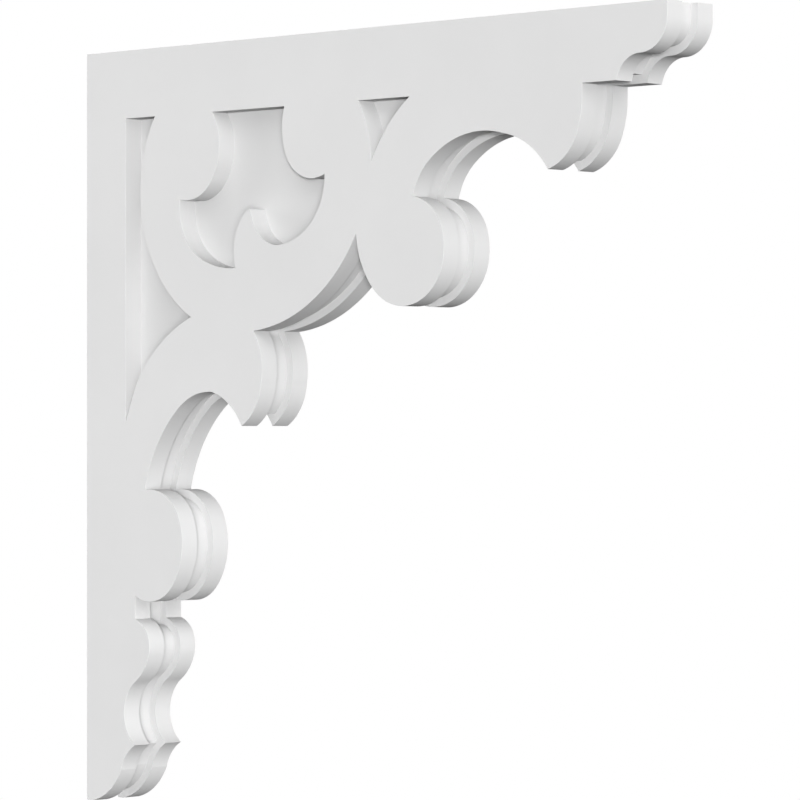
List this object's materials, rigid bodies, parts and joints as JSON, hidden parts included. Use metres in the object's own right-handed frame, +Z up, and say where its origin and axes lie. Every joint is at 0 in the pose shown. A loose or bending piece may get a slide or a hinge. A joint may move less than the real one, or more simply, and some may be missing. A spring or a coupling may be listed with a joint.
{
  "type": "corbel",
  "caption": "Flat scroll-cut bracket corbel glued up from boards, with a recessed core along its scalloped edge and blind cut-outs, fixed to a wall under an eave, mantel or shelf.",
  "frame": {"origin": "middle of the flat face that goes against the wall", "axes": "+X out from the wall, +Y across the thickness from the front face to the back face, +Z up"},
  "size_m": [0.9295, 0.0762, 0.9144],
  "materials": {
    "white_pvc": "white cellular PVC board, smooth satin faces and matt sawn edges"
  },
  "bodies": {
    "root": {"front_panel": "white_pvc", "core_panel": "white_pvc", "back_panel": "white_pvc"}
  },
  "joints": []
}
